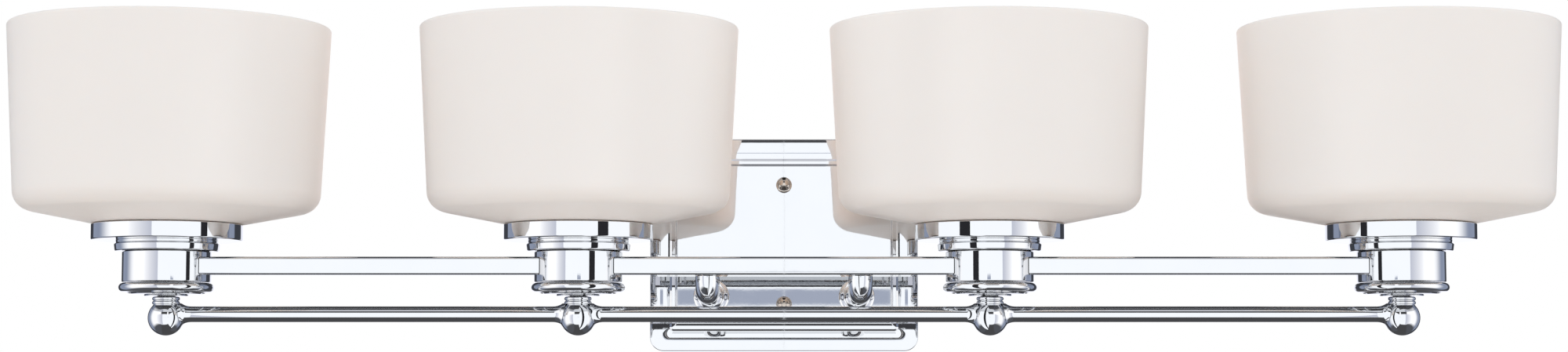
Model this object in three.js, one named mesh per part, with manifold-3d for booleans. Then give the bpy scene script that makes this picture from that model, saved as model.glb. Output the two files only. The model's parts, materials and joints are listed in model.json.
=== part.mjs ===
// Vanity light bar: four open-topped opal glass shades on a chrome double rail, carried by two
// elbow arms from a rectangular wall canopy.
// Millimetres. +Z is up, +X runs along the rails, the wall is the plane y = 0 and the fixture
// stands out from it towards -Y. The origin is the middle of the mounting strap's wall face.

import * as THREE from 'three';
import { mergeVertices } from 'three/addons/utils/BufferGeometryUtils.js';
import Module from 'manifold-3d';

const wasm = await Module();
wasm.setup();

// ---------------------------------------------------------------- driving dimensions

const inch = 25.4;
const gap = 0.3;                          // left between two pieces that touch

const lampCount = 4;
const lampPitch = 9 * inch;
const lampY = -4.5 * inch;                // the lamp axes stand this far out from the wall
const barLevel = -17;                     // the upper bar's centre line, below the canopy's middle

// Heights inside a lamp are measured from the upper bar's centre line, radii from the lamp's axis.
const shade = {
  rimRadius: 3.5 * inch, rimLevel: 133.8, cornerRadius: 83.6, cornerLevel: 32.2,
  cornerRounding: 11, holeRadius: 21.2, holeLevel: 19.9, wall: 3.5,
};
const holder = {
  radius: 41.5, top: 23.3, floor: 14.5, hubRadius: 28.9, hubFootRadius: 28.4, hubFoot: 8.4, metal: 1.2,
};
const lampholder = { radius: 19, bottom: 5, top: 45, boreRadius: 14.2, boreFloor: 17, studDepth: 6.5 };
const ring = { flangeRadius: 28, collarRadius: 23, bottom: 25.3, flange: 2, top: 33 };
const cup = { radius: 24.4, bottom: -8.8, metal: 1.2 };
const cupBase = {
  beadRadius: 26.1, beadCrown: 0.9, beadDrop: 2.4, beadFoot: 5, stepRadius: 19, stepDrop: 5.5,
  hubRadius: 11.5, bottom: -16.4,
};
const finial = { ballRadius: 9.9, ballLevel: -28.3, neckRadius: 7.7, waistRadius: 6.9, top: -16.7 };
const stud = { radius: 4.9, hole: 5.3, top: 11.2, bottom: -26.5 };
const bulb = {
  radius: 15.9, neckRadius: 13.6, tipRadius: 10.5, capRadius: 13.2, contactRadius: 4.5, capBottom: 17.4,
  capShoulder: 23.4, capTop: 44, neckLevel: 50, bodyLevel: 62, domeLevel: 104, tipLevel: 112, top: 117,
  wall: 1.5,
};

const upperBar = { height: 10, depth: 27, rounding: 1.5, metal: 1.2 };
const lowerBar = { radius: 4.35, level: -26.8, flareRadius: 6.4, flareStart: 8.6, flareEnd: 13 };

const canopy = {
  halfWidth: 78.6, halfHeight: 62.2, corner: 8, depth: 25, edgeRounding: 1.6,
  border: 15, panelRise: 3, panelCorner: 2.4, panelRounding: 0.8, metal: 1.2,
};
const strap = {
  width: 22, length: 112, corner: 3, metal: 2, slotSpacing: 3.5 * inch, slotLength: 10, slotWidth: 5.2,
};
const canopyStud = { spacing: 2.75 * inch, radius: 2, frontY: -35.5 };
const capNut = { baseRadius: 4.6, baseLength: 1.5, neckRadius: 3.1, ballRadius: 4.1, ballY: -37.2 };
const groundScrew = { level: -15, radius: 1.9, headRadius: 4, headHeight: 2.4, tailY: -0.4 };

const arm = {
  x: 42.5, drop: 13.6, radius: 6.75, bore: 4, shoulderRadius: 10.5, shoulderLength: 2.9,
  tailRadius: 5.6, tailY: -17.5, topRun: 0.8,
};
const armNut = { acrossFlats: 17, thickness: 4 };
const wire = {
  radius: 2.1, offset: 8.5, drop: 0.5, holeRadius: 3.2, startY: -9, straight: 10, crossing: 18,
  easing: 4, lampOffset: 3,
};

const round = { large: 28, medium: 20, small: 16, fine: 12, rod: 8 };   // sides of turned pieces

// ---------------------------------------------------------------- materials

const finishes = {
  chrome: { color: 0xd9dbe0, roughness: 0.06, metalness: 1 },
  opalGlass: { color: 0xf1ece8, roughness: 0.35, metalness: 0 },
  porcelain: { color: 0xf2f0ea, roughness: 0.3, metalness: 0 },
  brass: { color: 0xc9a45a, roughness: 0.3, metalness: 1 },
  zincSteel: { color: 0xb4b6b6, roughness: 0.4, metalness: 1 },
  aluminium: { color: 0xc6c8ca, roughness: 0.35, metalness: 1 },
  bulbGlass: { color: 0xfbf8f0, roughness: 0.25, metalness: 0 },
  wireSleeve: { color: 0x1b1b1c, roughness: 0.6, metalness: 0 },
  greenSteel: { color: 0x2f8a4c, roughness: 0.4, metalness: 1 },
};

// ---------------------------------------------------------------- solids from meshes

// One closed body: shared corners merged, flat triangles dropped, faces turned outwards.
function closedBody(geometry) {
  const bare = geometry.clone();
  bare.deleteAttribute('normal');
  bare.deleteAttribute('uv');
  const merged = mergeVertices(bare, 1e-4);
  const corners = merged.index.array;
  const place = merged.attributes.position;
  const a = new THREE.Vector3();
  const b = new THREE.Vector3();
  const c = new THREE.Vector3();
  const kept = [];
  let volume = 0;
  for (let i = 0; i < corners.length; i += 3) {
    const [p, q, r] = [corners[i], corners[i + 1], corners[i + 2]];
    if (p === q || q === r || r === p) continue;
    kept.push(p, q, r);
    volume += a.fromBufferAttribute(place, p)
      .dot(b.fromBufferAttribute(place, q).cross(c.fromBufferAttribute(place, r)));
  }
  if (volume < 0) kept.reverse();
  merged.setIndex(kept);
  return merged;
}

function toSolid(geometry) {
  const body = closedBody(geometry);
  return new wasm.Manifold(new wasm.Mesh({
    numProp: 3,
    vertProperties: new Float32Array(body.attributes.position.array),
    triVerts: new Uint32Array(body.index.array),
  }));
}

function toGeometry(solid) {
  const mesh = solid.getMesh();
  const geometry = new THREE.BufferGeometry();
  geometry.setAttribute('position', new THREE.BufferAttribute(new Float32Array(mesh.vertProperties), 3));
  geometry.setIndex(new THREE.BufferAttribute(new Uint32Array(mesh.triVerts), 1));
  return geometry;
}

function cut(geometry, ...tools) {
  return toGeometry(tools.reduce((solid, tool) => solid.subtract(toSolid(tool)), toSolid(geometry)));
}

// ---------------------------------------------------------------- shape helpers

const point = (r, z) => new THREE.Vector2(r, z);

// Turned piece about the Z axis. The profile starts and ends on the axis, or is closed.
function turned(profile, sides) {
  const closed = profile[0].x === 0 && profile.at(-1).x === 0 ? profile : [...profile, profile[0]];
  return closedBody(new THREE.LatheGeometry(closed, sides).rotateX(Math.PI / 2));
}

// Cylinder along Z from one height to another.
function rod(radius, bottom, top, sides) {
  return turned([point(0, bottom), point(radius, bottom), point(radius, top), point(0, top)], sides);
}

// The path, then its copy moved sideways by the wall thickness: a profile for thin spun metal or glass.
function wallProfile(path, wall) {
  const inner = path.map((here, i) => {
    const before = here.clone().sub(path[Math.max(i - 1, 0)]).normalize();
    const after = path[Math.min(i + 1, path.length - 1)].clone().sub(here).normalize();
    const along = before.clone().add(after).normalize();
    const side = new THREE.Vector2(-along.y, along.x);
    const stretch = i > 0 && i < path.length - 1 ? side.dot(new THREE.Vector2(-before.y, before.x)) : 1;
    const moved = here.clone().addScaledVector(side, wall / stretch);
    return here.x === 0 ? point(0, moved.y) : moved;
  });
  return [...path, ...inner.reverse()];
}

// A corner between two straight runs, replaced by an arc of the given radius.
function roundedCorner(from, corner, to, radius, steps) {
  const back = from.clone().sub(corner).normalize();
  const on = to.clone().sub(corner).normalize();
  const halfAngle = Math.acos(back.dot(on)) / 2;
  const centre = back.clone().add(on).normalize().multiplyScalar(radius / Math.sin(halfAngle)).add(corner);
  const start = back.clone().multiplyScalar(radius / Math.tan(halfAngle)).add(corner).sub(centre);
  const turn = Math.PI - 2 * halfAngle;
  const sense = Math.sign(on.cross(back));
  return Array.from({ length: steps + 1 }, (_, i) =>
    start.clone().rotateAround(point(0, 0), (sense * turn * i) / steps).add(centre));
}

// Closed body through a stack of rings that all have the same number of corners.
function lofted(rings) {
  const count = rings[0].length;
  const place = rings.flat().flatMap((corner) => corner.toArray());
  const index = [];
  for (let level = 0; level < rings.length - 1; level += 1) {
    for (let i = 0; i < count; i += 1) {
      const a = level * count + i;
      const b = level * count + ((i + 1) % count);
      index.push(a, b, b + count, a, b + count, a + count);
    }
  }
  for (const level of [0, rings.length - 1]) {
    const middle = place.length / 3;
    const centre = rings[level].reduce((sum, corner) => sum.add(corner), new THREE.Vector3());
    place.push(...centre.divideScalar(count).toArray());
    for (let i = 0; i < count; i += 1) {
      const a = level * count + i;
      const b = level * count + ((i + 1) % count);
      index.push(...(level === 0 ? [middle, b, a] : [middle, a, b]));
    }
  }
  const geometry = new THREE.BufferGeometry();
  geometry.setAttribute('position', new THREE.Float32BufferAttribute(place, 3));
  geometry.setIndex(index);
  return closedBody(geometry);
}

// Rounded rectangle in a plane y = const, as a ring of corners.
function rectangleRing(halfWidth, halfHeight, corner, y) {
  const steps = 4;
  const ringCorners = [];
  for (let quarter = 0; quarter < 4; quarter += 1) {
    const signX = quarter === 0 || quarter === 3 ? 1 : -1;
    const signZ = quarter < 2 ? 1 : -1;
    for (let i = 0; i <= steps; i += 1) {
      const angle = ((quarter + i / steps) * Math.PI) / 2;
      ringCorners.push(new THREE.Vector3(
        signX * (halfWidth - corner) + corner * Math.cos(angle),
        y,
        signZ * (halfHeight - corner) + corner * Math.sin(angle),
      ));
    }
  }
  return ringCorners;
}

// Points of a route through the given corners. Each inner corner becomes an arc that begins its own
// easing length before the corner.
function easedRoute(corners, easings) {
  const steps = 5;
  const bends = easings.map((easing, i) => {
    const [before, corner, after] = corners.slice(i, i + 3);
    const back = before.clone().sub(corner).normalize();
    const on = after.clone().sub(corner).normalize();
    const halfAngle = back.angleTo(on) / 2;
    const centre = back.clone().add(on).setLength(easing / Math.cos(halfAngle)).add(corner);
    const start = back.clone().multiplyScalar(easing).add(corner).sub(centre);
    const ahead = back.clone().multiplyScalar(-start.length());
    return Array.from({ length: steps + 1 }, (_, k) => {
      const angle = ((Math.PI - 2 * halfAngle) * k) / steps;
      return centre.clone().addScaledVector(start, Math.cos(angle)).addScaledVector(ahead, Math.sin(angle));
    });
  });
  return [corners[0], ...bends.flat(), corners.at(-1)];
}

// Round bar along a route. radii is one number, or one radius for each point of the route.
function swept(route, radii, sides) {
  const reference = new THREE.Vector3(1, 0.01, 0.02);
  const rings = route.map((here, i) => {
    const ahead = route.slice(i + 1).find((other) => other.distanceTo(here) > 1e-6) ?? here;
    const behind = route.slice(0, i).reverse().find((other) => other.distanceTo(here) > 1e-6) ?? here;
    const along = ahead.clone().sub(here).normalize().add(here.clone().sub(behind).normalize()).normalize();
    const side = reference.clone().addScaledVector(along, -reference.dot(along)).normalize();
    reference.copy(side);
    const up = along.clone().cross(side);
    const radius = Array.isArray(radii) ? radii[i] : radii;
    return Array.from({ length: sides }, (_, k) => {
      const angle = (2 * Math.PI * k) / sides;
      return here.clone().addScaledVector(side, radius * Math.cos(angle))
        .addScaledVector(up, radius * Math.sin(angle));
    });
  });
  return lofted(rings);
}

// Same shape standing along -Y instead of +Z, from the wall side to the front.
const facingFront = (geometry) => geometry.rotateX(Math.PI / 2);

// ---------------------------------------------------------------- one lamp

function glassShade() {
  const hole = point(shade.holeRadius, shade.holeLevel);
  const corner = point(shade.cornerRadius, shade.cornerLevel);
  const rim = point(shade.rimRadius, shade.rimLevel);
  const outside = [hole, ...roundedCorner(hole, corner, rim, shade.cornerRounding, 3), rim];
  return turned(wallProfile(outside, shade.wall), round.large);
}

function shadeHolder() {
  const outside = [
    point(lampholder.radius + 2 * gap, holder.hubFoot), point(holder.hubFootRadius, holder.hubFoot),
    point(holder.hubRadius, holder.floor), point(holder.radius, holder.floor),
    point(holder.radius, holder.top),
  ];
  return turned(wallProfile(outside, holder.metal), round.medium);
}

function shadeRing() {
  const bore = lampholder.radius + 2 * gap;
  return turned([
    point(bore, ring.bottom), point(ring.flangeRadius, ring.bottom),
    point(ring.flangeRadius, ring.bottom + ring.flange),
    point(ring.collarRadius, ring.bottom + 1.5 * ring.flange), point(ring.collarRadius, ring.top),
    point(bore, ring.top),
  ], round.small);
}

function porcelainLampholder() {
  const studEnd = lampholder.bottom + lampholder.studDepth;
  return turned([
    point(0, studEnd), point(stud.hole, studEnd), point(stud.hole, lampholder.bottom),
    point(lampholder.radius, lampholder.bottom), point(lampholder.radius, lampholder.top),
    point(lampholder.boreRadius, lampholder.top), point(lampholder.boreRadius, lampholder.boreFloor),
    point(0, lampholder.boreFloor),
  ], round.small);
}

// The cup under the shade holder, with a wire hole in each side that an upper bar meets.
function socketCup(barSides) {
  const top = holder.hubFoot - gap;
  const outside = [
    point(stud.hole, cup.bottom), point(cup.radius, cup.bottom), point(cup.radius, top),
  ];
  const shell = turned(wallProfile(outside, cup.metal), round.medium);
  const holes = barSides.map((side) => {
    const hole = rod(wire.holeRadius, cup.radius / 2, cup.radius + 1, round.rod).rotateY(side * Math.PI / 2);
    return hole.translate(0, wire.offset, -wire.drop);
  });
  return cut(shell, ...holes);
}

function cupBasePlate() {
  const { beadRadius, beadCrown, beadDrop, beadFoot, stepRadius, stepDrop, hubRadius, bottom } = cupBase;
  const top = cup.bottom - gap;
  return turned([
    point(stud.hole, top), point(stud.hole, bottom), point(hubRadius, bottom),
    point(stepRadius, top - stepDrop), point(beadRadius - beadCrown, top - beadFoot),
    point(beadRadius, top - beadDrop), point(beadRadius - beadCrown, top),
  ], round.medium);
}

// Neck with two beads over a ball, drilled from the top for the stud.
function finialBall() {
  const bore = stud.hole;
  const { ballRadius, ballLevel, neckRadius, waistRadius, top } = finial;
  const neckAngle = Math.acos(waistRadius / ballRadius);
  const neckFoot = ballLevel + ballRadius * Math.sin(neckAngle);
  const bead = (top - neckFoot) / 4;
  const steps = 6;
  const ball = Array.from({ length: steps }, (_, i) => {
    const angle = neckAngle - ((neckAngle + Math.PI / 2) * i) / steps;
    return point(ballRadius * Math.cos(angle), ballLevel + ballRadius * Math.sin(angle));
  });
  return turned([
    point(0, stud.bottom - gap), point(bore, stud.bottom - gap), point(bore, top), point(waistRadius, top),
    point(neckRadius, top - bead), point(waistRadius, top - 2 * bead), point(neckRadius, top - 3 * bead),
    ...ball, point(0, ballLevel - ballRadius),
  ], round.fine);
}

function bulbCap() {
  return turned([
    point(0, bulb.capBottom), point(bulb.contactRadius, bulb.capBottom),
    point(bulb.capRadius, bulb.capShoulder), point(bulb.capRadius, bulb.capTop), point(0, bulb.capTop),
  ], round.fine);
}

// Frosted tubular envelope, open below where the cap closes it.
function bulbGlass() {
  const outside = [
    point(bulb.capRadius, bulb.capTop + gap), point(bulb.neckRadius, bulb.neckLevel),
    point(bulb.radius, bulb.bodyLevel), point(bulb.radius, bulb.domeLevel),
    point(bulb.tipRadius, bulb.tipLevel), point(0, bulb.top),
  ];
  return turned(wallProfile(outside, bulb.wall), round.fine);
}

// ---------------------------------------------------------------- rails

// Rectangular tube between two lamps, its ends coped to fit the cups.
function upperBarTube(wireHoles) {
  const { depth, height, rounding, metal } = upperBar;
  const section = (inset) => rectangleRing(depth / 2 - inset, height / 2 - inset,
    Math.max(rounding - inset, 0.3), 0);
  const lengthwise = (corners, halfLength) => lofted([-halfLength, halfLength].map((x) =>
    corners.map((corner) => new THREE.Vector3(x, corner.x, corner.z))));
  const half = lampPitch / 2;
  const ends = [-half, half].map((x) =>
    rod(cup.radius + gap, -height, height, round.medium).translate(x, 0, 0));
  const holes = wireHoles.map((x) => rod(arm.bore, -height, 0, round.rod).translate(x, 0, 0));
  return cut(lengthwise(section(0), half), lengthwise(section(metal), half + 1), ...ends, ...holes);
}

// Round rod between two finial balls, flared where it meets them.
function lowerBarRod() {
  const { radius, flareRadius, flareStart, flareEnd } = lowerBar;
  const half = lampPitch / 2;
  const flare = Array.from({ length: 4 }, (_, i) => {
    const t = i / 3;
    const r = radius + (flareRadius - radius) * (1 - t) ** 2;
    return point(r, half - flareStart - (flareEnd - flareStart) * t);
  });
  const mirrored = flare.map((corner) => point(corner.x, -corner.y)).reverse();
  const profile = [point(0, half - flareStart), ...flare, ...mirrored, point(0, flareStart - half)];
  const shaft = turned(profile, round.fine).rotateY(Math.PI / 2);
  const ballRadius = finial.ballRadius + 2 * gap;
  const balls = [-half, half].map((x) => new THREE.SphereGeometry(ballRadius, round.small, round.rod)
    .translate(x, 0, finial.ballLevel - lowerBar.level));
  return cut(shaft, ...balls);
}

// ---------------------------------------------------------------- canopy and wall fixing

// Pressed pan, open at the wall side, with a raised panel inside a flat border.
function backplate() {
  const { halfWidth, halfHeight, corner, depth, edgeRounding, border, panelRise, metal } = canopy;
  const { panelCorner, panelRounding } = canopy;
  const pan = (inset, y) => rectangleRing(halfWidth - inset, halfHeight - inset, corner - inset, y);
  const panel = (inset, y) =>
    rectangleRing(halfWidth - border - inset, halfHeight - border - inset, panelCorner, y);
  const eased = edgeRounding * (1 - Math.SQRT1_2);
  const front = -depth - panelRise;
  const outside = lofted([
    pan(0, 0), pan(0, edgeRounding - depth), pan(eased, eased - depth), pan(edgeRounding, -depth),
    panel(0, -depth), panel(0, front + panelRounding), panel(panelRounding, front),
  ]);
  const inside = lofted([
    pan(metal, 1), pan(metal, metal - depth), panel(metal, metal - depth), panel(metal, front + metal),
  ]);
  const through = (radius, x, z) =>
    facingFront(rod(radius, 0, depth + 2 * panelRise, round.fine)).translate(x, 0, z);
  const studHoles = [-1, 1].map((side) =>
    through(canopyStud.radius + 2 * gap, 0, side * canopyStud.spacing / 2));
  const armHoles = [-1, 1].map((side) => through(arm.tailRadius + gap, side * arm.x, barLevel - arm.drop));
  return cut(outside, inside, ...studHoles, ...armHoles);
}

// Flat strap behind the canopy: two slots for the wall box, two stud holes and the ground screw's hole.
function mountingStrap() {
  const halfWidth = strap.width / 2;
  const plate = lofted([
    rectangleRing(halfWidth, strap.length / 2, strap.corner, 0),
    rectangleRing(halfWidth, strap.length / 2, strap.corner, -strap.metal),
  ]);
  const slotHalfLength = strap.slotLength / 2;
  const slots = [-1, 1].map((side) => lofted([1, -strap.metal - 1].map((y) =>
    rectangleRing(strap.slotWidth / 2, slotHalfLength, strap.slotWidth / 2 - 0.01, y)))
    .translate(0, 0, side * strap.slotSpacing / 2));
  const hole = (radius, z) => facingFront(rod(radius, -1, strap.metal + 1, round.rod)).translate(0, 0, z);
  const studHoles = [-1, 1].map((side) => hole(canopyStud.radius + gap, side * canopyStud.spacing / 2));
  return cut(plate, ...slots, ...studHoles, hole(groundScrew.radius + gap, groundScrew.level));
}

function canopyStudRod() {
  return facingFront(rod(canopyStud.radius, gap, -canopyStud.frontY, round.rod));
}

// Ball-ended cap nut with a blind thread, turned by hand.
function canopyCapNut() {
  const seat = canopy.depth + canopy.panelRise + gap;
  const { baseRadius, baseLength, neckRadius, ballRadius, ballY } = capNut;
  const bore = canopyStud.radius + 0.5;
  const boreEnd = gap - canopyStud.frontY;
  const neckAngle = Math.acos(neckRadius / ballRadius);
  const steps = 5;
  const ball = Array.from({ length: steps }, (_, i) => {
    const angle = -neckAngle + ((neckAngle + Math.PI / 2) * i) / steps;
    return point(ballRadius * Math.cos(angle), -ballY + ballRadius * Math.sin(angle));
  });
  return facingFront(turned([
    point(0, boreEnd), point(bore, boreEnd), point(bore, seat), point(baseRadius, seat),
    point(baseRadius, seat + baseLength), point(neckRadius, seat + baseLength),
    ...ball, point(0, -ballY + ballRadius),
  ], round.fine));
}

function groundScrewBody() {
  const { radius, headRadius, headHeight, tailY } = groundScrew;
  const head = strap.metal + gap;
  return facingFront(turned([
    point(0, -tailY), point(radius, -tailY), point(radius, head), point(headRadius, head),
    point(headRadius, head + 0.6 * headHeight), point(0.6 * headRadius, head + headHeight),
    point(0, head + headHeight),
  ], round.rod));
}

// ---------------------------------------------------------------- arms and wiring

const armLevel = barLevel - arm.drop;
const armTop = barLevel - upperBar.height / 2 - gap;
const armEasing = armTop - armLevel - arm.topRun;
const panelFace = -canopy.depth - canopy.panelRise - gap;

// Hollow elbow arm: threaded tail, round shoulder on the panel, then forward and up to the bar.
function supportArm(x) {
  const at = (y, z = armLevel) => new THREE.Vector3(x, y, z);
  const shoulderFront = panelFace - arm.shoulderLength;
  const elbow = easedRoute([at(shoulderFront), at(lampY), at(lampY, armTop)], [armEasing]).slice(1);
  const route = [
    at(arm.tailY), at(panelFace), at(panelFace), at(panelFace - 0.6 * arm.shoulderLength),
    at(shoulderFront), ...elbow,
  ];
  const radii = [
    arm.tailRadius, arm.tailRadius, arm.shoulderRadius, arm.shoulderRadius - 0.3, arm.radius,
    ...elbow.map(() => arm.radius),
  ];
  const bore = [at(arm.tailY + 1), ...elbow, at(lampY, armTop + 1)];
  return cut(swept(route, radii, round.fine), swept(bore, arm.bore, round.rod));
}

function armLockNut(x) {
  const panelBack = canopy.depth + canopy.panelRise - canopy.metal;
  const front = panelBack - gap;
  const corner = armNut.acrossFlats / 2 / Math.cos(Math.PI / 6);
  const hex = rod(corner, front - armNut.thickness, front, 6);
  const thread = rod(arm.tailRadius + gap, 0, panelBack + 1, round.fine);
  return facingFront(cut(hex, thread)).translate(x, 0, armLevel);
}

// Sleeved pair of leads on one side: from the canopy, through the arm and the bars, past the inner
// lamp's stud, to the outer lampholder.
function leadWire(side) {
  const wireLevel = barLevel - wire.drop;
  const x = side * arm.x;
  const endX = side * (1.5 * lampPitch - wire.lampOffset);
  const wireY = lampY + wire.offset;
  const turnX = x + side * wire.straight;
  const route = easedRoute([
    new THREE.Vector3(x, wire.startY, armLevel), new THREE.Vector3(x, lampY, armLevel),
    new THREE.Vector3(x, lampY, wireLevel), new THREE.Vector3(turnX, lampY, wireLevel),
    new THREE.Vector3(turnX + side * wire.crossing, wireY, wireLevel),
    new THREE.Vector3(endX, wireY, wireLevel),
    new THREE.Vector3(endX, wireY, barLevel + lampholder.bottom - gap),
  ], [armEasing, ...Array(4).fill(wire.easing)]);
  return swept(route, wire.radius, round.rod);
}

// ---------------------------------------------------------------- assembly

const group = new THREE.Group();

function place(name, geometry, finish, x = 0, y = 0, z = 0) {
  const mesh = new THREE.Mesh(geometry, new THREE.MeshStandardMaterial(finishes[finish]));
  mesh.name = name;
  mesh.position.set(x, y, z);
  group.add(mesh);
}

const lampX = (index) => (index - (lampCount - 1) / 2) * lampPitch;
const lampPieces = [
  ['glass_shade', glassShade(), 'opalGlass'],
  ['shade_ring', shadeRing(), 'aluminium'],
  ['shade_holder', shadeHolder(), 'chrome'],
  ['lampholder', porcelainLampholder(), 'porcelain'],
  ['cup_base', cupBasePlate(), 'chrome'],
  ['finial_ball', finialBall(), 'chrome'],
  ['lamp_stud', rod(stud.radius, stud.bottom, stud.top, round.rod), 'zincSteel'],
  ['bulb_cap', bulbCap(), 'brass'],
  ['bulb_glass', bulbGlass(), 'bulbGlass'],
];
for (let index = 0; index < lampCount; index += 1) {
  const number = index + 1;
  for (const [name, geometry, finish] of lampPieces) {
    place(`${name}_${number}`, geometry, finish, lampX(index), lampY, barLevel);
  }
  const barSides = [-1, 1].filter((side) => index + side >= 0 && index + side < lampCount);
  place(`socket_cup_${number}`, socketCup(barSides), 'chrome', lampX(index), lampY, barLevel);
}

const lowerRod = lowerBarRod();
['left', 'middle', 'right'].forEach((side, index) => {
  const x = (index - 1) * lampPitch;
  const wireHoles = side === 'middle' ? [-arm.x, arm.x] : [];
  place(`upper_bar_${side}`, upperBarTube(wireHoles), 'chrome', x, lampY, barLevel);
  place(`lower_bar_${side}`, lowerRod, 'chrome', x, lampY, barLevel + lowerBar.level);
});

place('backplate', backplate(), 'chrome');
place('mounting_strap', mountingStrap(), 'zincSteel');
place('ground_screw', groundScrewBody(), 'greenSteel', 0, 0, groundScrew.level);
for (const [label, side] of [['upper', 1], ['lower', -1]]) {
  place(`canopy_stud_${label}`, canopyStudRod(), 'zincSteel', 0, 0, side * canopyStud.spacing / 2);
  place(`cap_nut_${label}`, canopyCapNut(), 'chrome', 0, 0, side * canopyStud.spacing / 2);
}
for (const [label, side] of [['left', -1], ['right', 1]]) {
  place(`support_arm_${label}`, supportArm(side * arm.x), 'chrome');
  place(`arm_nut_${label}`, armLockNut(side * arm.x), 'zincSteel');
  place(`lead_wire_${label}`, leadWire(side), 'wireSleeve');
}

export default group;
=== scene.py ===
"""Looks of a vanity light bar: opal glass shades on polished chrome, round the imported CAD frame.

Metres. +Z is up, +X runs along the bars, the wall is the plane y = 0 and the light stands out towards -Y.
Outlines are written in millimetres, as (distance from the axis, height, corner radius). Heights in a lamp are
measured from the upper bar's centre line, and those of pieces on the wall are distances from the wall.
"""

import json
import math

import bmesh
import bpy
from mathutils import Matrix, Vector

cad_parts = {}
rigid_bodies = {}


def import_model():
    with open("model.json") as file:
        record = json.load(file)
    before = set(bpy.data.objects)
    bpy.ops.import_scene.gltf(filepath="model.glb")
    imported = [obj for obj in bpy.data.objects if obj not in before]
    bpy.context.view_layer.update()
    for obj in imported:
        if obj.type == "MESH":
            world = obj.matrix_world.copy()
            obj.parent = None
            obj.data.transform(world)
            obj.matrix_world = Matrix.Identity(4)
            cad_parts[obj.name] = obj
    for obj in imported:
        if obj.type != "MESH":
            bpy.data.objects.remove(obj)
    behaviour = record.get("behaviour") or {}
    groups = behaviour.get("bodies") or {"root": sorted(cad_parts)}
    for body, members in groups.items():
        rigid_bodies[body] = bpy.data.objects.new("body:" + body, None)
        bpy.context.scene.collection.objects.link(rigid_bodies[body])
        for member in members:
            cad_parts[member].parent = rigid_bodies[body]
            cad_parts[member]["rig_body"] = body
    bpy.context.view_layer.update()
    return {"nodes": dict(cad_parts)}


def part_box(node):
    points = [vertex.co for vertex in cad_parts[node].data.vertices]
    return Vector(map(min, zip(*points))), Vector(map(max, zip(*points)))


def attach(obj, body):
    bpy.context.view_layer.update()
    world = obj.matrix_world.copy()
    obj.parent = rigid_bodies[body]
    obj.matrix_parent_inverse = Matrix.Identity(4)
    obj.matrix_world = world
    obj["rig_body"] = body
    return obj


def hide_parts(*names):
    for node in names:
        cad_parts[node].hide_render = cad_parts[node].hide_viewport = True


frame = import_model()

MM = 0.001
LAMPS = (1, 2, 3, 4)
SIDES = ("left", "middle", "right")

# Sides of a turned piece.
FINE = 128
MEDIUM = 96
SMALL = 48

# The object, in millimetres.
GAP = 0.3               # between two pieces that touch
SHEET_METAL = 1.2       # thickness of the cups, dishes, bars and the canopy
GLASS = 3.5             # thickness of the shades
CUP_RADIUS = 24.4
CUP_FOOT = -8.8
STUD_HOLE = 5.3         # radius, through everything that the lamp stud holds together
BALL_RADIUS = 9.9
BALL_LEVEL = -28.3
ARM_RADIUS = 6.75

# Ways to stand a turned mesh up: across, over and along its axis.
UP = (Vector((1, 0, 0)), Vector((0, 1, 0)), Vector((0, 0, 1)))
FRONT = (Vector((1, 0, 0)), Vector((0, 0, 1)), Vector((0, -1, 0)))

# The studio that the chrome sees. Distances in metres: from the lamps forward, from the middle to either side
# and from the upper bar's height.
WHITE = (1.34, 1.375, 1.42)
SIDE_WHITE = (1.45, 1.45, 1.47)
LIGHT_STRIP = (0.80, 0.81, 0.87)
CEILING = (0.03, 0.03, 0.034)
FLOOR = (0.085, 0.085, 0.09)
CARD_REACH = 0.62
CARD_HALF = 0.458       # to the end of the front card's white part
CARD_END = 1.03
CARD_FOOT = -0.63
CARD_TOP = 0.215


# ------------------------------------------------------------------ places, read from the frame

def middle(node):
    low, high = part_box(node)
    return (low + high) / 2


BAR = middle("upper_bar_middle")
BAR_Y = BAR.y / MM
PITCH = (middle("glass_shade_2").x - middle("glass_shade_1").x) / MM
ARM_LEVEL = (middle("arm_nut_left").z - BAR.z) / MM
PANEL_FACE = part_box("backplate")[0].y / MM - GAP    # where the arms' shoulders sit
STUD_HEIGHT = middle("canopy_stud_upper").z / MM
GROUND_HEIGHT = middle("ground_screw").z / MM


def lamp_origin(number):
    """On a lamp's axis, at the height of the upper bar's centre line."""
    axis = middle(f"glass_shade_{number}")
    return Vector((axis.x, axis.y, BAR.z))


# ------------------------------------------------------------------ outlines

def arc(centre, radius, start, end, steps):
    """Points on an arc between two angles in degrees."""
    angles = [math.radians(start + (end - start) * i / steps) for i in range(steps + 1)]
    return [(centre[0] + radius * math.cos(a), centre[1] + radius * math.sin(a)) for a in angles]


def filleted(corners, steps=6):
    """The outline with an arc for each corner (x, y, radius). A corner without a radius stays sharp."""
    outline = []
    for i, corner in enumerate(corners):
        here = Vector(corner[:2])
        radius = corner[2] if len(corner) > 2 else 0
        if not radius:
            outline.append(tuple(here))
            continue
        back = Vector(corners[i - 1][:2]) - here
        ahead = Vector(corners[(i + 1) % len(corners)][:2]) - here
        half = back.angle(ahead) / 2
        radius = min(radius, 0.49 * min(back.length, ahead.length) * math.tan(half))
        back.normalize()
        ahead.normalize()
        centre = here + (back + ahead).normalized() * radius / math.sin(half)
        first = here + back * radius / math.tan(half) - centre
        last = here + ahead * radius / math.tan(half) - centre
        turn = math.pi - 2 * half
        if first.cross(last) < 0:
            turn = -turn
        for k in range(steps + 1):
            angle = turn * k / steps
            outline.append((
                centre.x + first.x * math.cos(angle) - first.y * math.sin(angle),
                centre.y + first.x * math.sin(angle) + first.y * math.cos(angle),
            ))
    return outline


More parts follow.
